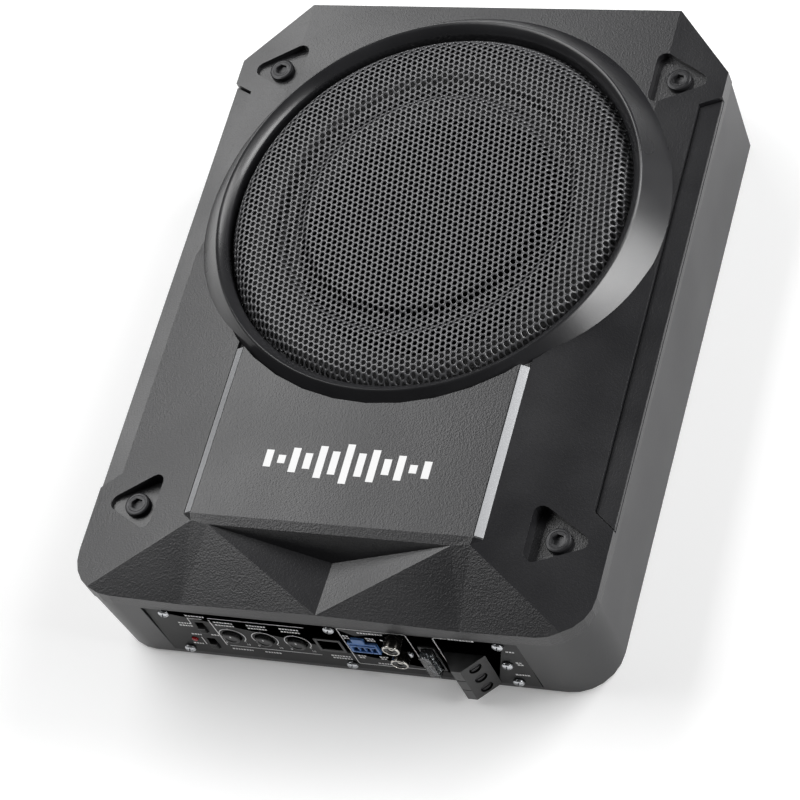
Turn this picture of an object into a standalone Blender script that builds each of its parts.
"""Powered under-seat car subwoofer, modelled as separate named pieces.

Sizes are in millimetres and become Blender metres in one place, build_mesh().
X runs across the case, -Y is the control end, +Z is up. The origin is on the
ground under the middle of the overall outline.
"""
import math

import bmesh
import bpy
from mathutils import Matrix, Vector

MM = 0.001
GAP = 0.3

# Case outline
HALF_WIDTH = 125.0
FRONT_Y = -161.2
BACK_Y = 169.2
FRONT_RADIUS = 22.0
CHAMFER_X = 29.5
CHAMFER_Y = 33.1
BASE_Z = 1.5
SEAM_Z = 50.0
WALL = 3.0
BASE_TAPER = 1.5

# Top surface
PLATEAU_Z = 71.0
PLATEAU_X = 68.4
STRIPE_X = 72.2
PLATEAU_FRONT_Y = -122.6
SEAT_X = 115.0
SEAT_Z = 59.2
FRONT_SLOPE = 0.226
BACK_SLOPE = 0.09
WARP_FRONT_Y = 20.0
WARP_BACK_Y = 110.0
BACK_FLAT_X = 95.0
FRONT_EDGE_Z = 56.0
FRONT_MIDDLE_Z = 58.4
FACET_X = 67.1
CREST = (58.6, -127.0, 69.5)
DIAGONAL_TOP = (67.4, -126.0)
VALLEY = (0.0, -134.3, 56.4)
FACET_ANGLE = 29.2
SHELL_DROP = 3.0

# Woofer opening and grille ring
WOOFER_Y = 44.75
HOLE_R = 105.0
SHELF_R = 92.0
SHELF_TOP_Z = 53.3
COLLAR_R = 108.0
LIP_R = 103.8
RING_TOP_Z = 72.4
SKIRT_R = 114.8
SKIRT_TOP_R = 103.8
SKIRT_RATIO = 12.4 / 11.0
ROUND_STEPS = 40
RING_STEPS = 72
RING_STEP = 2.0 * math.pi / RING_STEPS

# Corner bolts and their pockets
BOLT_X = 102.3
BOLT_YS = (-114.8, 130.5)
POCKET_FLOOR_Z = 57.2
POCKET_TIP = 17.8
POCKET_BACK = 12.4
POCKET_HALF = 16.6
POCKET_ROUND = 4.0
BOLT_HEAD_R = 6.0
BOLT_HEAD_TOP_Z = 59.8
BOLT_SHANK_R = 2.2
BOSS_R = 19.0

# Side trims
TRIM_X = 115.2
TRIM_FLOOR_Z = 54.0
TRIM_INNER_Z = 57.3
TRIM_OUTER_Z = 56.0
TRIM_INNER_YS = (-98.9, 116.6)
TRIM_OUTER_YS = (-106.0, 121.6)

# Control end
PANEL_Y = FRONT_Y + 1.5
PANEL_T = 2.0
PANEL_HALF = 90.5
PANEL_Z = (4.8, 47.0)
PANEL_SCREWS = ((-80.8, 43.2), (0.8, 43.2), (80.8, 43.2), (-80.8, 9.0), (0.8, 9.0), (80.8, 9.0))
LUG_REACH = 3.6
LUG_HALF = 4.0
LUG_BACK_Y = PANEL_Y + PANEL_T + 7.0
KNOBS = (("low_pass", -53.5), ("bass_boost", -37.2), ("gain", -20.9))
KNOB_Z = 25.0
SWITCHES = (("phase", 31.0), ("mode", 15.5))
SWITCH_X = -66.5
LED_AT = (-75.0, 18.2)
REMOTE_AT = (-4.5, 26.0)
SPEAKER_X = (5.9, 20.1)
SPEAKER_Z = (23.6, 32.6)
SPEAKER_KEY_X = (8.8, 14.8)
SPEAKER_KEY_TOP_Z = 36.4
SPEAKER_MOUTH_X = (7.2, 18.8)
SPEAKER_MOUTH_Z = (24.8, 29.6)
PHONO_X = 31.0
PHONO_ZS = (("left", 39.4), ("right", 26.4))
FUSE_AT = (44.6, 24.0)
TERMINAL_X = (51.6, 57.8, 62.3, 71.6)
TERMINAL_Z = (5.0, 32.0)
TERMINAL_PROUD = 8.0
TERMINAL_NECK_X = (54.0, 71.0)
TERMINAL_NECK_Z = (9.0, 30.0)
WIRE_HALF = 3.0
WIRE_Y = (-166.8, -161.6)
WIRE_END_X = 60.0

BLACK_TEXTURED = ("textured_black", (0.035, 0.035, 0.037), 0.55, 0.0)
BLACK_SATIN = ("satin_black", (0.045, 0.045, 0.047), 0.38, 0.0)
BLACK_PLASTIC = ("black_plastic", (0.02, 0.02, 0.02), 0.45, 0.0)
SILVER_PAINT = ("silver_paint", (0.62, 0.62, 0.63), 0.35, 0.6)
PERFORATED = ("black_steel", (0.03, 0.03, 0.03), 0.3, 0.4)
STEEL = ("zinc_steel", (0.6, 0.6, 0.6), 0.3, 1.0)
DARK_STEEL = ("black_oxide_steel", (0.05, 0.05, 0.05), 0.4, 0.8)
RUBBER = ("rubber", (0.015, 0.015, 0.015), 0.8, 0.0)
PAPER = ("coated_paper", (0.03, 0.03, 0.03), 0.75, 0.0)
CLOTH = ("treated_cloth", (0.55, 0.33, 0.10), 0.85, 0.0)
FERRITE = ("ferrite", (0.06, 0.06, 0.06), 0.7, 0.0)
GLASS_FIBRE = ("glass_fibre_board", (0.02, 0.14, 0.05), 0.5, 0.0)
COPPER = ("copper_wire", (0.70, 0.30, 0.12), 0.35, 0.9)
ALUMINIUM = ("aluminium", (0.7, 0.7, 0.72), 0.4, 1.0)
BLUE_PLASTIC = ("blue_plastic", (0.07, 0.16, 0.42), 0.4, 0.0)
CLEAR_PLASTIC = ("clear_plastic", (0.75, 0.78, 0.80), 0.1, 0.0)
RED_LENS = ("red_lens", (0.45, 0.02, 0.02), 0.2, 0.0)


def clear_scene():
    """Remove everything that the file opened with."""
    for item in list(bpy.data.objects):
        bpy.data.objects.remove(item, do_unlink=True)


def material(finish):
    """Return the Principled material of a finish, made on first use."""
    name, colour, roughness, metallic = finish
    found = bpy.data.materials.get(name)
    if found:
        return found
    made = bpy.data.materials.new(name)
    made.use_nodes = True
    shader = made.node_tree.nodes["Principled BSDF"]
    shader.inputs["Base Color"].default_value = (*colour, 1.0)
    shader.inputs["Roughness"].default_value = roughness
    shader.inputs["Metallic"].default_value = metallic
    return made


# ---------------------------------------------------------------- mesh tools


def build_mesh(name, bm, finish, location=(0.0, 0.0, 0.0), angle=None):
    """Turn a millimetre bmesh into a named object whose origin is at location."""
    bmesh.ops.remove_doubles(bm, verts=bm.verts, dist=1e-4)
    bmesh.ops.recalc_face_normals(bm, faces=bm.faces)
    bmesh.ops.transform(bm, matrix=Matrix.Translation(-Vector(location)), verts=bm.verts)
    bmesh.ops.scale(bm, vec=(MM, MM, MM), verts=bm.verts)
    mesh = bpy.data.meshes.new(name)
    bm.to_mesh(mesh)
    bm.free()
    if angle is not None:
        mesh.shade_smooth()
        mesh.set_sharp_from_angle(angle=math.radians(angle))
    thing = bpy.data.objects.new(name, mesh)
    thing.location = Vector(location) * MM
    bpy.context.scene.collection.objects.link(thing)
    if finish:
        mesh.materials.append(material(finish))
    else:
        thing.hide_render = True
        thing.display_type = "WIRE"
    return thing


def add_prism(bm, outline, low, high):
    """Add a closed prism over an outline of (x, y) points."""
    bottom = [bm.verts.new((x, y, low)) for x, y in outline]
    face = bm.faces.new(bottom)
    raised = bmesh.ops.extrude_face_region(bm, geom=[face])["geom"]
    tops = [item for item in raised if isinstance(item, bmesh.types.BMVert)]
    bmesh.ops.translate(bm, vec=(0.0, 0.0, high - low), verts=tops)
    if high < low or face.calc_area() == 0:
        raise ValueError("flat prism")
    return bottom + tops


def prism(name, outline, low, high, finish=None, location=(0.0, 0.0, 0.0)):
    """Make a prism object."""
    bm = bmesh.new()
    add_prism(bm, outline, low, high)
    return build_mesh(name, bm, finish, location)


def box_outline(x0, x1, y0, y1):
    """Corners of a rectangle, anticlockwise."""
    return [(x0, y0), (x1, y0), (x1, y1), (x0, y1)]


def box(name, xs, ys, zs, finish=None, location=(0.0, 0.0, 0.0)):
    """Make a rectangular block from its low and high limits."""
    return prism(name, box_outline(*xs, *ys), zs[0], zs[1], finish, location)


def disc_outline(x, y, radius, steps=24, start=0.0):
    """Points round a circle."""
    turn = 2.0 * math.pi / steps
    return [(x + radius * math.cos(start + turn * k), y + radius * math.sin(start + turn * k))
            for k in range(steps)]


def turned_bmesh(profile, steps=ROUND_STEPS, closed=True):
    """Spin a profile of (radius, height) points round Z."""
    bm = bmesh.new()
    verts = [bm.verts.new((radius, 0.0, height)) for radius, height in profile]
    pairs = list(zip(verts, verts[1:]))
    if closed:
        pairs.append((verts[-1], verts[0]))
    edges = [bm.edges.new(pair) for pair in pairs]
    bmesh.ops.spin(bm, geom=verts + edges, cent=(0, 0, 0), axis=(0, 0, 1),
                   angle=2.0 * math.pi, steps=steps, use_merge=True)
    bmesh.ops.remove_doubles(bm, verts=bm.verts, dist=1e-4)
    return bm


def turned(name, profile, finish=None, centre=(0.0, 0.0), steps=ROUND_STEPS, closed=True,
           location=(0.0, 0.0, 0.0), angle=40.0):
    """Make a turned piece on a vertical axis."""
    bm = turned_bmesh(profile, steps, closed)
    bmesh.ops.translate(bm, vec=(centre[0], centre[1], 0.0), verts=bm.verts)
    return build_mesh(name, bm, finish, location, angle)


def turned_forward(name, profile, x, z, finish=None, steps=20, closed=False, location=None, angle=40.0):
    """Make a turned piece on an axis towards -Y: heights in the profile are distances along -Y."""
    bm = turned_bmesh(profile, steps, closed)
    bmesh.ops.rotate(bm, cent=(0, 0, 0), matrix=Matrix.Rotation(math.radians(90.0), 3, "X"), verts=bm.verts)
    bmesh.ops.translate(bm, vec=(x, 0.0, z), verts=bm.verts)
    return build_mesh(name, bm, finish, location or (0.0, 0.0, 0.0), angle)


def boolean(target, other, operation="DIFFERENCE"):
    """Add an exact Boolean to target."""
    step = target.modifiers.new(other.name, "BOOLEAN")
    step.operation = operation
    step.solver = "EXACT"
    step.object = other
    return step


def cut_box(target, name, xs, ys, zs):
    """Cut a rectangular block out of target."""
    boolean(target, box("cutter_" + name, xs, ys, zs))


def cut_forward(target, name, x, z, radius, ys, steps=20):
    """Bore target along Y between two Y values."""
    cutter = turned_forward("cutter_" + name, [(0.0, -ys[1]), (radius, -ys[1]), (radius, -ys[0]), (0.0, -ys[0])],
                            x, z, None, steps)
    boolean(target, cutter)


# --------------------------------------------------------------- case outline


def corner_arc(angles, radius=FRONT_RADIUS):
    """Points on the front right corner, by angle from -Y towards +X."""
    cx = HALF_WIDTH - radius
    cy = FRONT_Y + radius
    return [(cx + radius * math.sin(math.radians(a)), cy - radius * math.cos(math.radians(a))) for a in angles]


FACET_ARC = (0.0, 14.0, FACET_ANGLE)
SIDE_ARC = (FACET_ANGLE, 44.0, 60.0, 75.0, 90.0)


def case_outline():
    """The whole case outline, anticlockwise from the middle of the front edge."""
    right = [(FACET_X, FRONT_Y)] + corner_arc(FACET_ARC) + corner_arc(SIDE_ARC)[1:]
    right += [(HALF_WIDTH, BACK_Y - CHAMFER_Y), (HALF_WIDTH - CHAMFER_X, BACK_Y)]
    return right + [(-x, y) for x, y in reversed(right)]


def shrunk(outline, by):
    """Move an outline in by an even distance, scaling each axis about its middle."""
    mid_y = (FRONT_Y + BACK_Y) / 2.0
    kx = (HALF_WIDTH - by) / HALF_WIDTH
    ky = ((BACK_Y - FRONT_Y) / 2.0 - by) / ((BACK_Y - FRONT_Y) / 2.0)
    return [(x * kx, mid_y + (y - mid_y) * ky) for x, y in outline]


def tapered_prism(name, outline, low, high, taper, finish=None):
    """A prism whose foot is drawn in all round by taper."""
    bm = bmesh.new()
    add_prism(bm, outline, low, high)
    mid_y = (FRONT_Y + BACK_Y) / 2.0
    for vert in bm.verts:
        if vert.co.z < (low + high) / 2.0:
            vert.co.x *= (HALF_WIDTH - taper) / HALF_WIDTH
            vert.co.y = mid_y + (vert.co.y - mid_y) * (1.0 - taper / ((BACK_Y - FRONT_Y) / 2.0))
    return build_mesh(name, bm, finish)


# ---------------------------------------------------------------- top surface


def side_height(x):
    """Height of the sloped side deck."""
    return SEAT_Z + FRONT_SLOPE * (SEAT_X - abs(x))


def back_height(x):
    """Height of the deck behind the ring."""
    return SEAT_Z + BACK_SLOPE * (SEAT_X - max(abs(x), BACK_FLAT_X))


def plane_height(a, b, c):
    """Return a function giving the height of the plane through three points."""
    normal = (Vector(b) - Vector(a)).cross(Vector(c) - Vector(a))
    return lambda x, y: a[2] - (normal.x * (x - a[0]) + normal.y * (y - a[1])) / normal.z


def deck_height(x, y):
    """Height of the deck beside and behind the ring, and of the plateau in front of it."""
    x = abs(x)
    if y >= WARP_BACK_Y:
        return back_height(x)
    if y > WARP_FRONT_Y:
        front = (SEAT_X, WARP_FRONT_Y, SEAT_Z)
        flat = (BACK_FLAT_X, WARP_BACK_Y, back_height(BACK_FLAT_X))
        crease_x = SEAT_X + (BACK_FLAT_X - SEAT_X) * (y - WARP_FRONT_Y) / (WARP_BACK_Y - WARP_FRONT_Y)
        third = (SEAT_X, WARP_BACK_Y, SEAT_Z) if x > crease_x else (STRIPE_X, WARP_FRONT_Y, side_height(STRIPE_X))
        return plane_height(front, flat, third)(x, y)
    if x >= STRIPE_X:
        return side_height(x)
    run = (STRIPE_X - x) / (STRIPE_X - PLATEAU_X)
    return min(side_height(STRIPE_X) + run * (PLATEAU_Z - side_height(STRIPE_X)), PLATEAU_Z)


def top_polygons():
    """The right half of the top surface, as lists of 3-D points."""
    arc = corner_arc(FACET_ARC)
    side_arc = corner_arc(SIDE_ARC)
    p1 = (*side_arc[0], side_height(side_arc[0][0]))
    p2 = (*DIAGONAL_TOP, side_height(DIAGONAL_TOP[0]))
    p3 = (FACET_X, FRONT_Y, FRONT_EDGE_Z)
    p5 = (0.0, FRONT_Y, FRONT_MIDDLE_Z)
    facet = plane_height(p1, p2, p3)
    crown = (0.0, CREST[1], CREST[2])
    lip = (PLATEAU_X, PLATEAU_FRONT_Y, PLATEAU_Z)
    lip_mid = (0.0, PLATEAU_FRONT_Y, PLATEAU_Z)
    stripe = (STRIPE_X, PLATEAU_FRONT_Y, side_height(STRIPE_X))
    stripe_back = (STRIPE_X, WARP_FRONT_Y, side_height(STRIPE_X))
    lip_back = (PLATEAU_X, WARP_FRONT_Y, PLATEAU_Z)
    lip_back_mid = (0.0, WARP_FRONT_Y, PLATEAU_Z)
    seat_front = (SEAT_X, WARP_FRONT_Y, SEAT_Z)
    seat_back = (SEAT_X, WARP_BACK_Y, SEAT_Z)
    edge_front = (HALF_WIDTH, WARP_FRONT_Y, side_height(HALF_WIDTH))
    edge_back = (HALF_WIDTH, WARP_BACK_Y, back_height(HALF_WIDTH))
    flat = (BACK_FLAT_X, WARP_BACK_Y, back_height(BACK_FLAT_X))
    flat_mid = (0.0, WARP_BACK_Y, back_height(0.0))
    rear = (BACK_FLAT_X, BACK_Y, back_height(BACK_FLAT_X))
    rear_mid = (0.0, BACK_Y, back_height(0.0))
    cut_a = (HALF_WIDTH - CHAMFER_X, BACK_Y, back_height(HALF_WIDTH - CHAMFER_X))
    cut_b = (HALF_WIDTH, BACK_Y - CHAMFER_Y, back_height(HALF_WIDTH))
    return [
        [lip_mid, lip, lip_back, lip_back_mid],
        [lip, stripe, stripe_back, lip_back],
        [crown, CREST, lip, lip_mid],
        [CREST, p2, lip],
        [p2, stripe, lip],
        [VALLEY, CREST, crown],
        [p5, CREST, VALLEY],
        [p5, p3, CREST],
        [p3, p2, CREST],
        [p3] + [(x, y, facet(x, y)) for x, y in arc[:-1]] + [p1, p2],
        [p2, p1] + [(x, y, side_height(x)) for x, y in side_arc[1:]] + [edge_front, seat_front, stripe_back, stripe],
        [stripe_back, seat_front, flat],
        [seat_front, seat_back, flat],
        [seat_front, edge_front, edge_back, seat_back],
        [lip_back_mid, lip_back, flat],
        [lip_back, stripe_back, flat],
        [lip_back_mid, flat, flat_mid],
        [flat_mid, flat, rear, rear_mid],
        [flat, seat_back, edge_back, cut_b, cut_a, rear],
    ]


def cover_block(name, shrink, drop, low, finish=None):
    """A solid under the top surface, drawn in by shrink, lowered by drop and ending at low."""
    bm = bmesh.new()
    for polygon in top_polygons():
        for side in (1.0, -1.0):
            points = polygon if side > 0 else list(reversed(polygon))
            flat = shrunk([(x * side, y) for x, y, _ in points], shrink)
            verts = [bm.verts.new((x, y, p[2] - drop)) for (x, y), p in zip(flat, points)]
            bm.faces.new(verts)
    bmesh.ops.remove_doubles(bm, verts=bm.verts, dist=1e-3)
    rim = [edge for edge in bm.edges if edge.is_boundary]
    lowered = bmesh.ops.extrude_edge_only(bm, edges=rim)["geom"]
    for item in lowered:
        if isinstance(item, bmesh.types.BMVert):
            item.co.z = low
    foot = [edge for edge in bm.edges if edge.is_boundary]
    bmesh.ops.contextual_create(bm, geom=foot)
    bmesh.ops.triangulate(bm, faces=[face for face in bm.faces if len(face.verts) > 4])
    return build_mesh(name, bm, finish)


def bolt_places():
    """Corner bolts as (name, side, x, y)."""
    for y in BOLT_YS:
        for side in (-1.0, 1.0):
            end = "front" if y < 0 else "back"
            hand = "left" if side < 0 else "right"
            yield f"{end}_{hand}", side, side * BOLT_X, y


def pocket_outline(side, x, y):
    """A rounded triangle that points outwards."""
    corners = [Vector((POCKET_TIP, 0.0)), Vector((-POCKET_BACK, POCKET_HALF)), Vector((-POCKET_BACK, -POCKET_HALF))]
    points = []
    for index, corner in enumerate(corners):
        before = (corners[index - 1] - corner).normalized()
        after = (corners[(index + 1) % 3] - corner).normalized()
        half = before.angle(after) / 2.0
        centre = corner + (before + after).normalized() * POCKET_ROUND / math.sin(half)
        first = corner + before * POCKET_ROUND / math.tan(half)
        last = corner + after * POCKET_ROUND / math.tan(half)
        a = math.atan2(*(first - centre).yx)
        b = math.atan2(*(last - centre).yx)
        sweep = (b - a) % (2.0 * math.pi)
        for k in range(5):
            t = a + sweep * k / 4.0
            points.append((x + side * (centre.x + POCKET_ROUND * math.cos(t)),
                           y + centre.y + POCKET_ROUND * math.sin(t)))
    return points


def trim_outline(side, grow=0.0):
    """Plan of a side trim, or of its seat when grown."""
    inner = TRIM_X - grow
    outer = HALF_WIDTH + (grow and 5.0)
    reach = grow * 1.2
    slope = (TRIM_OUTER_YS[0] - TRIM_INNER_YS[0]) / (HALF_WIDTH - TRIM_X)
    rear = (TRIM_OUTER_YS[1] - TRIM_INNER_YS[1]) / (HALF_WIDTH - TRIM_X)
    run = outer - inner
    points = [(inner, TRIM_INNER_YS[0] - reach), (outer, TRIM_INNER_YS[0] - reach + slope * run),
              (outer, TRIM_INNER_YS[1] + reach + rear * run), (inner, TRIM_INNER_YS[1] + reach)]
    return [(side * x, y) for x, y in points]


def stripe_section(grow=0.0):
    """Section of an accent strip in X and Z, lying on the plateau's bevel."""
    low = side_height(STRIPE_X)
    lift = 3.0 if grow else 0.0
    return [(PLATEAU_X - grow, PLATEAU_Z + lift), (STRIPE_X + grow, low + lift),
            (STRIPE_X + grow, low - 1.3 - grow), (PLATEAU_X - grow, PLATEAU_Z - 1.5 - grow)]


def accent_block(name, side, grow, finish=None):
    """An accent strip, or the cutter for its seat."""
    bm = bmesh.new()
    back = WOOFER_Y - math.sqrt(HOLE_R ** 2 - PLATEAU_X ** 2) + (4.0 if grow else -0.2)
    front = PLATEAU_FRONT_Y + 0.6 - grow
    add_prism(bm, [(side * x, z) for x, z in stripe_section(grow)], front, back)
    for vert in bm.verts:
        vert.co = Vector((vert.co.x, vert.co.z, vert.co.y))
    return build_mesh(name, bm, finish)


def make_top_cover():
    """The moulded top: skirt, sloped sides, plateau, facets, pockets and the woofer's collar."""
    cover = cover_block("top_cover", 0.0, 0.0, SEAM_Z + GAP, BLACK_TEXTURED)
    hollow = cover_block("cutter_cover_hollow", WALL, SHELL_DROP, SEAM_Z - 8.0)
    core = turned("cutter_cover_core", [(0.0, 30.0), (COLLAR_R, 30.0), (COLLAR_R, 90.0), (0.0, 90.0)],
                  centre=(0.0, WOOFER_Y), closed=False)
    boolean(hollow, core)
    for name, _, x, y in bolt_places():
        boolean(hollow, prism("cutter_boss_" + name, disc_outline(x, y, BOSS_R), 30.0, 90.0))
    boolean(cover, hollow)
    opening = [(0.0, 30.0), (SHELF_R, 30.0), (SHELF_R, SHELF_TOP_Z), (HOLE_R, SHELF_TOP_Z), (HOLE_R, 90.0), (0.0, 90.0)]
    boolean(cover, turned("cutter_cover_opening", opening, centre=(0.0, WOOFER_Y), closed=False))
    for name, side, x, y in bolt_places():
        boolean(cover, prism("cutter_pocket_" + name, pocket_outline(side, x, y), POCKET_FLOOR_Z, 80.0))
        boolean(cover, prism("cutter_cover_bolt_" + name, disc_outline(x, y, BOLT_SHANK_R + GAP, 12), 40.0, 60.0))
    for side, hand in ((-1.0, "left"), (1.0, "right")):
        boolean(cover, prism("cutter_trim_" + hand, trim_outline(side, GAP), TRIM_FLOOR_Z, 70.0))
        boolean(cover, accent_block("cutter_accent_" + hand, side, GAP))
    return cover


def make_side_trims():
    """The two trims let into the cover's long edges."""
    for side, hand in ((-1.0, "left"), (1.0, "right")):
        bm = bmesh.new()
        add_prism(bm, trim_outline(side), TRIM_FLOOR_Z + GAP, TRIM_INNER_Z)
        for vert in bm.verts:
            if vert.co.z > TRIM_FLOOR_Z + 1.0 and abs(vert.co.x) > SEAT_X + 2.0:
                vert.co.z = TRIM_OUTER_Z
        build_mesh("side_trim_" + hand, bm, BLACK_SATIN)


def make_accent_strips():
    """The two silver strips on the plateau's bevels."""
    for side, hand in ((-1.0, "left"), (1.0, "right")):
        accent_block("accent_strip_" + hand, side, 0.0, SILVER_PAINT)


# ------------------------------------------------------------ ring and grille


def skirt_foot(angle):
    """Radius and height where the ring's skirt meets the deck, by angle round the woofer."""
    radius = SKIRT_TOP_R + 0.6
    while radius < SKIRT_R:
        x = radius * math.cos(angle)
        y = WOOFER_Y + radius * math.sin(angle)
        on_cone = RING_TOP_Z - (radius - SKIRT_TOP_R) * SKIRT_RATIO
        if on_cone <= deck_height(x, y) + GAP + 0.4:
            break
        radius += 0.1
    return radius, RING_TOP_Z - (radius - SKIRT_TOP_R) * SKIRT_RATIO


def ring_section(angle):
    """Section of the grille ring at an angle, as (radius, height) points."""
    foot_r, foot_z = skirt_foot(angle)
    wall_r = HOLE_R - 0.4
    under_r = max(foot_r - 0.5, wall_r + 0.05)

    def above(radius):
        near = [angle + RING_STEP * k / 4.0 for k in range(-4, 5)]
        return max(deck_height(radius * math.cos(a), WOOFER_Y + radius * math.sin(a)) for a in near) + GAP

    return [(98.6, 57.4), (98.6, 70.4), (99.9, 71.8), (102.2, 72.4), (103.4, 72.2),
            (foot_r, foot_z - 0.1), (under_r, max(above(under_r), above(foot_r))),
            (wall_r, above(wall_r + 0.3)), (wall_r, 57.4)]


def make_grille_ring():
    """The ring round the grille, with a skirt that follows the deck."""
    bm = bmesh.new()
    rows = []
    for k in range(RING_STEPS):
        angle = RING_STEP * k
        rows.append([bm.verts.new((r * math.cos(angle), WOOFER_Y + r * math.sin(angle), z))
                     for r, z in ring_section(angle)])
    for k in range(RING_STEPS):
        here = rows[k]
        there = rows[(k + 1) % RING_STEPS]
        for j in range(len(here)):
            m = (j + 1) % len(here)
            bm.faces.new((here[j], there[j], there[m], here[m]))
    return build_mesh("grille_ring", bm, BLACK_SATIN, angle=30.0)


GRILLE_TOP = [(0.0, 68.6), (58.0, 68.6), (62.5, 67.0), (68.5, 67.0), (73.0, 68.9), (85.0, 68.6),
              (92.5, 66.4), (96.8, 62.5), (98.2, 62.5)]


def make_grille():
    """The pressed steel grille, a dished disc with an embossed ring."""
    under = [(r, z - 1.0) for r, z in reversed(GRILLE_TOP)]
    return turned("grille_mesh", GRILLE_TOP + under, PERFORATED, (0.0, WOOFER_Y), closed=False)


# ------------------------------------------------------------------- fasteners


def hex_head(name, head_r, head_z, top_z, socket_r, socket_depth, shank_r, shank_z, finish, x, y):
    """A round-headed screw with a hex socket, standing along Z."""
    crown = head_r - 0.8
    profile = [(0.0, shank_z), (shank_r, shank_z), (shank_r, head_z), (head_r, head_z),
               (head_r, top_z - 0.9), (crown, top_z), (0.0, top_z)]
    screw = turned(name, profile, finish, (x, y), steps=24, closed=False)
    socket = prism("cutter_socket_" + name, disc_outline(x, y, socket_r, 6, math.radians(15)),
                   top_z - socket_depth, top_z + 2.0)
    boolean(screw, socket)
    return screw


def make_corner_bolts():
    """The four bolts that hold the cover to the housing."""
    for name, _, x, y in bolt_places():
        hex_head("corner_bolt_" + name, BOLT_HEAD_R, POCKET_FLOOR_Z + GAP, BOLT_HEAD_TOP_Z, 2.9, 1.6,
                 BOLT_SHANK_R, 24.0, DARK_STEEL, x, y)


def make_panel_screws():
    """Pan-head screws with a cross slot round the control panel."""
    for index, (x, z) in enumerate(PANEL_SCREWS):
        front = -PANEL_Y
        profile = [(0.0, front - 7.0), (1.4, front - 7.0), (1.4, front + GAP), (2.7, front + GAP),
                   (2.7, front + 1.2), (1.7, front + 2.2), (0.0, front + 2.2)]
        screw = turned_forward(f"panel_screw_{index + 1}", profile, x, z, STEEL, steps=16)
        ys = (PANEL_Y - 4.0, PANEL_Y - 1.4)
        cut_box(screw, f"slot_{index + 1}", (x - 1.9, x + 1.9), ys, (z - 0.3, z + 0.3))


# --------------------------------------------------------------------- housing


def make_lower_housing():
    """The cast tray: tapered walls, floor, bolt posts, panel lugs and the control opening."""
    outline = shrunk(case_outline(), GAP)
    tray = tapered_prism("lower_housing", outline, BASE_Z, SEAM_Z, BASE_TAPER, BLACK_SATIN)
    hollow = tapered_prism("cutter_tray_hollow", shrunk(outline, WALL), BASE_Z + WALL, SEAM_Z + 5.0, BASE_TAPER)
    bay = box("cutter_front_bay", (-PANEL_HALF, PANEL_HALF), (FRONT_Y + WALL, FRONT_Y + 20.0),
              (BASE_Z + WALL, SEAM_Z + 5.0))
    boolean(hollow, bay, "UNION")
    for name, _, x, y in bolt_places():
        boolean(hollow, prism("cutter_post_" + name, disc_outline(x, y, 7.0), -5.0, 80.0))
    for index, (x, z) in enumerate(PANEL_SCREWS):
        zs = (z - LUG_REACH, 80.0) if z > KNOB_Z else (-5.0, z + LUG_REACH)
        boolean(hollow, box(f"cutter_lug_{index + 1}", (x - LUG_HALF, x + LUG_HALF), (FRONT_Y - 20.0, LUG_BACK_Y), zs))
    boolean(tray, hollow)
    cut_box(tray, "control_opening", (-PANEL_HALF - GAP, PANEL_HALF + GAP), (FRONT_Y - 5.0, PANEL_Y + PANEL_T + GAP),
            (PANEL_Z[0] - GAP, PANEL_Z[1] + GAP))
    for name, _, x, y in bolt_places():
        boolean(tray, prism("cutter_tray_bolt_" + name, disc_outline(x, y, BOLT_SHANK_R + GAP, 12), 20.0, 70.0))
    for index, (x, z) in enumerate(PANEL_SCREWS):
        cut_forward(tray, f"lug_hole_{index + 1}", x, z, 1.7, (PANEL_Y, LUG_BACK_Y + 3.0), 12)
    return tray


def make_feet():
    """Four low rubber feet under the tray."""
    for x in (-98.0, 98.0):
        for y in (-128.0, 128.0):
            name = f"rubber_foot_{'front' if y < 0 else 'back'}_{'left' if x < 0 else 'right'}"
            profile = [(0.0, 0.0), (8.0, 0.0), (9.0, BASE_Z - GAP), (0.0, BASE_Z - GAP)]
            turned(name, profile, RUBBER, (x, y), steps=24, closed=False)


# ---------------------------------------------------------------------- woofer

CONE_STEPS = 28
BASKET_SECTION = [(SHELF_R + 11.5, 53.6), (SHELF_R + 11.5, 55.2), (93.0, 55.2), (90.4, 53.0), (61.5, 33.2),
                  (52.0, 33.2), (50.0, 30.6), (25.0, 30.6), (25.0, 29.0), (50.4, 29.0), (63.6, 31.6),
                  (90.9, 50.6), (91.5, 53.6)]


def make_basket():
    """The pressed steel frame with six windows."""
    basket = turned("woofer_basket", BASKET_SECTION, DARK_STEEL, (0.0, WOOFER_Y), CONE_STEPS)
    for k in range(6):
        angle = math.radians(60.0 * k + 30.0)
        bm = bmesh.new()
        add_prism(bm, box_outline(70.5, 100.0, -19.0, 19.0), 39.6, 49.0)
        bmesh.ops.rotate(bm, cent=(0, 0, 0), matrix=Matrix.Rotation(angle, 3, "Z"), verts=bm.verts)
        bmesh.ops.translate(bm, vec=(0.0, WOOFER_Y, 0.0), verts=bm.verts)
        boolean(basket, build_mesh(f"cutter_basket_window_{k + 1}", bm, None))
    return basket


def woofer_piece(name, profile, finish, closed=True):
    """A turned woofer piece on the woofer's axis."""
    return turned(name, profile, finish, (0.0, WOOFER_Y), CONE_STEPS, closed)


def make_moving_parts():
    """Cone, dust cap and voice coil, which move together."""
    woofer_piece("woofer_cone", [(76.5, 53.4), (77.6, 52.6), (40.0, 40.0), (21.0, 35.0), (20.0, 35.0),
                                 (20.0, 36.6), (39.5, 41.4)], PAPER)
    woofer_piece("dust_cap", [(0.0, 46.0), (9.0, 45.2), (17.0, 43.0), (23.5, 38.6), (24.6, 38.2), (24.6, 39.4),
                              (17.6, 44.2), (9.3, 46.6), (0.0, 47.4)], PAPER, closed=False)
    woofer_piece("voice_coil", [(18.2, 15.0), (19.3, 15.0), (19.3, 36.5), (18.2, 36.5)], COPPER)


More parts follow.
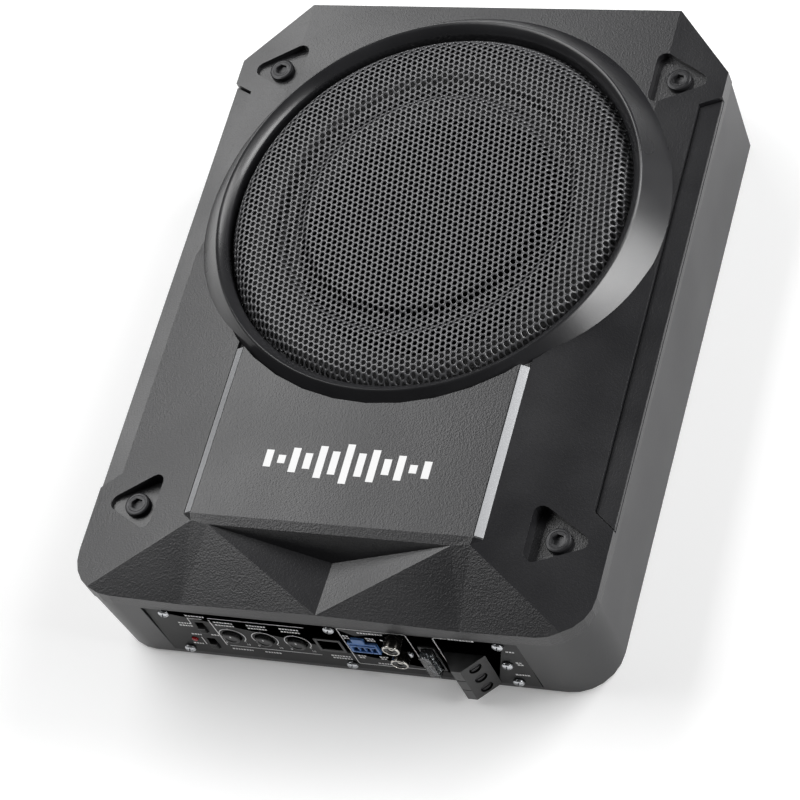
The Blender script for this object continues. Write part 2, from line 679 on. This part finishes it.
def roll_arc(centre, half_width, height, end_z, steps=6):
    """Half an ellipse from its inner foot over the top and down to end_z, as (radius, height) points."""
    end = math.pi - math.asin((end_z - centre[1]) / height)
    return [(centre[0] - half_width * math.cos(end * k / steps), centre[1] + height * math.sin(end * k / steps))
            for k in range(steps + 1)]


def make_suspension():
    """Rubber surround and corrugated spider."""
    roll = roll_arc((85.0, 54.3), 6.6, 5.2, 56.4)
    under = roll_arc((85.0, 53.7), 5.8, 5.0, 55.6)
    section = [(73.5, 54.3)] + roll + [(98.0, 56.4), (98.0, 55.6)] + under[::-1] + [(73.5, 53.7)]
    woofer_piece("rubber_surround", section, RUBBER)
    top = [(20.0 + 4.6 * k, 34.5 if k % 2 else 33.6) for k in range(7)] + [(52.6, 34.3), (60.2, 34.3)]
    low = [(r, z - 0.7) for r, z in reversed(top)]
    woofer_piece("spider", top + low, CLOTH)


def make_motor():
    """Front plate, ring magnet and back plate with its pole, stacked under the basket."""
    woofer_piece("front_plate", [(20.2, 23.9), (47.0, 23.9), (47.0, 28.7), (20.2, 28.7)], STEEL)
    woofer_piece("ring_magnet", [(26.0, 9.6), (50.0, 9.6), (50.0, 23.6), (26.0, 23.6)], FERRITE)
    woofer_piece("back_plate", [(0.0, 4.9), (46.0, 4.9), (47.0, 5.9), (47.0, 9.3), (17.2, 9.3), (17.2, 28.7),
                                (0.0, 28.7)], STEEL, closed=False)


# ------------------------------------------------------------------- amplifier


def make_circuit_board():
    """The amplifier board behind the control panel."""
    box("circuit_board", (-86.0, 86.0), (-142.0, -66.0), (13.4, 15.0), GLASS_FIBRE)
    box("heat_spreader", (-80.0, 80.0), (-72.0, -67.0), (15.3, 36.0), ALUMINIUM)


def make_toroid():
    """The power transformer: a wound ring lying on the board."""
    points = []
    for k in range(8):
        t = 2.0 * math.pi * k / 8.0
        points.append((13.5 + 6.0 * math.cos(t), 24.0 + 8.0 * math.sin(t)))
    turned("toroid_transformer", points, COPPER, (-38.0, -98.0), 20)


def make_capacitors():
    """Two smoothing capacitors standing on the board."""
    for index, x in enumerate((18.0, 44.0)):
        profile = [(0.0, 15.3), (9.0, 15.3), (9.0, 39.0), (8.2, 40.0), (0.0, 40.0)]
        turned(f"capacitor_{index + 1}", profile, BLACK_PLASTIC, (x, -96.0), 20, closed=False)


# --------------------------------------------------------------- control panel


def make_end_panel():
    """The steel control panel with an opening for each part that passes through it."""
    ys = (PANEL_Y, PANEL_Y + PANEL_T)
    through = (PANEL_Y - 3.0, PANEL_Y + 6.0)
    panel = box("control_panel", (-PANEL_HALF, PANEL_HALF), ys, PANEL_Z, BLACK_SATIN)
    for index, (x, z) in enumerate(PANEL_SCREWS):
        cut_forward(panel, f"panel_screw_hole_{index + 1}", x, z, 1.75, through, 12)
    for name, x in KNOBS:
        cut_forward(panel, "knob_hole_" + name, x, KNOB_Z, 4.9, through, 24)
    for name, z in SWITCHES:
        cut_box(panel, "switch_hole_" + name, (SWITCH_X - 2.2, SWITCH_X + 2.2), through, (z - 4.6, z + 4.6))
    cut_forward(panel, "led_hole", *LED_AT, 1.9, through, 12)
    x, z = REMOTE_AT
    cut_box(panel, "remote_hole", (x - 7.0, x + 7.0), through, (z - 6.3, z + 6.3))
    cut_box(panel, "speaker_hole", (SPEAKER_X[0] - 0.4, SPEAKER_X[1] + 0.4), through,
            (SPEAKER_Z[0] - 0.4, SPEAKER_Z[1] + 0.4))
    cut_box(panel, "speaker_key_hole", (SPEAKER_KEY_X[0] - 0.4, SPEAKER_KEY_X[1] + 0.4), through,
            (SPEAKER_Z[1] - 0.4, SPEAKER_KEY_TOP_Z + 0.4))
    for name, z in PHONO_ZS:
        cut_forward(panel, "phono_hole_" + name, PHONO_X, z, 4.6, through, 20)
    x, z = FUSE_AT
    cut_box(panel, "fuse_hole", (x - 4.3, x + 4.3), through, (z - 11.3, z + 11.3))
    cut_box(panel, "terminal_hole", (TERMINAL_NECK_X[0] - 0.4, TERMINAL_NECK_X[1] + 0.4), through,
            (TERMINAL_NECK_Z[0] - 0.4, TERMINAL_NECK_Z[1] + 0.4))
    return panel


def make_rotary_controls():
    """Three potentiometers, each with its knob turning in the panel."""
    back = -(PANEL_Y + PANEL_T + GAP)
    for name, x in KNOBS:
        box("pot_body_" + name, (x - 5.0, x + 5.0), (-back, -back + 8.0), (KNOB_Z - 6.0, KNOB_Z + 5.0), BLACK_PLASTIC)
        profile = [(0.0, back + GAP), (4.4, back + GAP), (4.4, -PANEL_Y + 1.3), (3.9, -PANEL_Y + 1.9),
                   (0.0, -PANEL_Y + 1.9)]
        knob = turned_forward("knob_" + name, profile, x, KNOB_Z, BLACK_PLASTIC, 24,
                              location=(x, PANEL_Y, KNOB_Z))
        cut_box(knob, "pointer_" + name, (x - 0.5, x + 0.5), (PANEL_Y - 4.0, PANEL_Y - 1.0),
                (KNOB_Z + 0.6, KNOB_Z + 6.0))


def make_slide_switches():
    """Two slide switches: a body behind the panel and a slider in its slot."""
    back = PANEL_Y + PANEL_T + GAP
    for name, z in SWITCHES:
        box("switch_body_" + name, (SWITCH_X - 3.6, SWITCH_X + 3.6), (back + 1.0, back + 7.0), (z - 6.4, z + 6.4),
            BLACK_PLASTIC)
        box("switch_slider_" + name, (SWITCH_X - 1.8, SWITCH_X + 1.8), (PANEL_Y - 1.2, back + 0.7), (z - 4.0, z + 0.4),
            BLACK_PLASTIC, (SWITCH_X, PANEL_Y, z))


def make_indicator():
    """The power light."""
    x, z = LED_AT
    front = -PANEL_Y
    profile = [(0.0, front - 6.0), (1.5, front - 6.0), (1.5, front + 0.3), (1.0, front + 0.9), (0.0, front + 1.1)]
    turned_forward("power_light", profile, x, z, RED_LENS, 12)


def make_sockets():
    """Remote socket, speaker-level socket and the two phono jacks."""
    x, z = REMOTE_AT
    socket = box("remote_socket", (x - 6.7, x + 6.7), (PANEL_Y - 0.5, PANEL_Y + 14.0), (z - 6.0, z + 6.0), BLACK_PLASTIC)
    cut_box(socket, "remote_mouth", (x - 5.2, x + 5.2), (PANEL_Y - 5.0, PANEL_Y + 11.0), (z - 4.2, z + 4.2))
    proud = PANEL_Y - 1.2
    plug = box("speaker_socket", SPEAKER_X, (proud, PANEL_Y + 9.0), SPEAKER_Z, BLUE_PLASTIC)
    boolean(plug, box("cutter_speaker_key", SPEAKER_KEY_X, (proud, PANEL_Y + 9.0),
                      (SPEAKER_Z[1] - 1.0, SPEAKER_KEY_TOP_Z)), "UNION")
    cut_box(plug, "speaker_mouth", SPEAKER_MOUTH_X, (proud - 4.0, PANEL_Y + 6.0), SPEAKER_MOUTH_Z)
    front = -PANEL_Y
    for name, z in PHONO_ZS:
        profile = [(0.0, front - 5.0), (1.6, front - 5.0), (1.6, front + 6.5), (3.6, front + 6.5),
                   (4.1, front + 6.0), (4.1, front - 8.0), (0.0, front - 8.0)]
        turned_forward("phono_jack_" + name, profile, PHONO_X, z, STEEL, 20)


def make_fuse():
    """The blade fuse and the holder that it pulls out of."""
    x, z = FUSE_AT
    holder = box("fuse_holder", (x - 4.0, x + 4.0), (PANEL_Y - 1.0, PANEL_Y + 12.0), (z - 11.0, z + 11.0), BLACK_PLASTIC)
    cut_box(holder, "fuse_mouth", (x - 2.9, x + 2.9), (PANEL_Y - 6.0, PANEL_Y + 9.5), (z - 9.9, z + 9.9))
    body = box("blade_fuse", (x - 2.5, x + 2.5), (PANEL_Y - 5.5, PANEL_Y + 3.0), (z - 9.5, z + 9.5), CLEAR_PLASTIC,
               (x, PANEL_Y, z))
    for side in (-1.0, 1.0):
        blade = box(f"cutter_blade_{side:+.0f}", (x - 0.4, x + 0.4), (PANEL_Y + 1.0, PANEL_Y + 8.5),
                    (z + side * 6.5 - 2.5, z + side * 6.5 + 2.5))
        boolean(body, blade, "UNION")


def terminal_outline():
    """Plan of the power terminal's front: wire entries on the left slant, screws on the right one."""
    back = PANEL_Y - GAP
    front = FRONT_Y - TERMINAL_PROUD
    rear_left, left, mid, right = TERMINAL_X
    return [(rear_left, back), (left, front), (mid, front), (right, back)]


def make_power_terminal():
    """Three-way power terminal with wire entries on one slanted face and screws on the other."""
    outline = terminal_outline()
    block = prism("power_terminal", outline, TERMINAL_Z[0], TERMINAL_Z[1], BLACK_PLASTIC)
    neck = box("cutter_terminal_neck", TERMINAL_NECK_X, (PANEL_Y - 1.0, PANEL_Y + 10.0), TERMINAL_NECK_Z)
    boolean(block, neck, "UNION")
    along = (Vector(outline[3]) - Vector(outline[2])).normalized().to_3d()
    normal = Vector((along.y, -along.x, 0.0))
    centre = ((Vector(outline[2]) + Vector(outline[3])) / 2.0).to_3d()
    pitch = (TERMINAL_Z[1] - TERMINAL_Z[0]) / 3.0
    turn = Matrix((along, Vector((0.0, 0.0, 1.0)), normal)).transposed()
    for k in range(3):
        z = TERMINAL_Z[0] + pitch * (k + 0.5)
        place = centre + Vector((0.0, 0.0, z))
        cut_box(block, f"wire_hole_{k + 1}", (outline[0][0] - 2.0, WIRE_END_X), WIRE_Y, (z - WIRE_HALF, z + WIRE_HALF))
        for name, radius, low, high, finish in (("cutter_screw_well_", 3.1, -3.4, 3.0, None),
                                                ("terminal_screw_", 2.7, -3.0, -0.4, STEEL)):
            bm = turned_bmesh([(0.0, low), (radius, low), (radius, high - 0.3), (radius - 0.3, high), (0.0, high)],
                              20, closed=False)
            bmesh.ops.rotate(bm, cent=(0, 0, 0), matrix=turn, verts=bm.verts)
            bmesh.ops.translate(bm, vec=place, verts=bm.verts)
            made = build_mesh(f"{name}{k + 1}", bm, finish, tuple(place), 40.0)
            if finish is None:
                boolean(block, made)
                continue
            bm = bmesh.new()
            add_prism(bm, box_outline(-4.0, 4.0, -0.4, 0.4), -1.5, 1.0)
            bmesh.ops.rotate(bm, cent=(0, 0, 0), matrix=turn, verts=bm.verts)
            bmesh.ops.translate(bm, vec=place, verts=bm.verts)
            boolean(made, build_mesh(f"cutter_terminal_slot_{k + 1}", bm, None))


def main():
    """Build every piece."""
    clear_scene()
    make_lower_housing()
    make_feet()
    make_top_cover()
    make_side_trims()
    make_accent_strips()
    make_grille_ring()
    make_grille()
    make_corner_bolts()
    make_basket()
    make_moving_parts()
    make_suspension()
    make_motor()
    make_circuit_board()
    make_toroid()
    make_capacitors()
    make_end_panel()
    make_panel_screws()
    make_rotary_controls()
    make_slide_switches()
    make_indicator()
    make_sockets()
    make_fuse()
    make_power_terminal()


main()
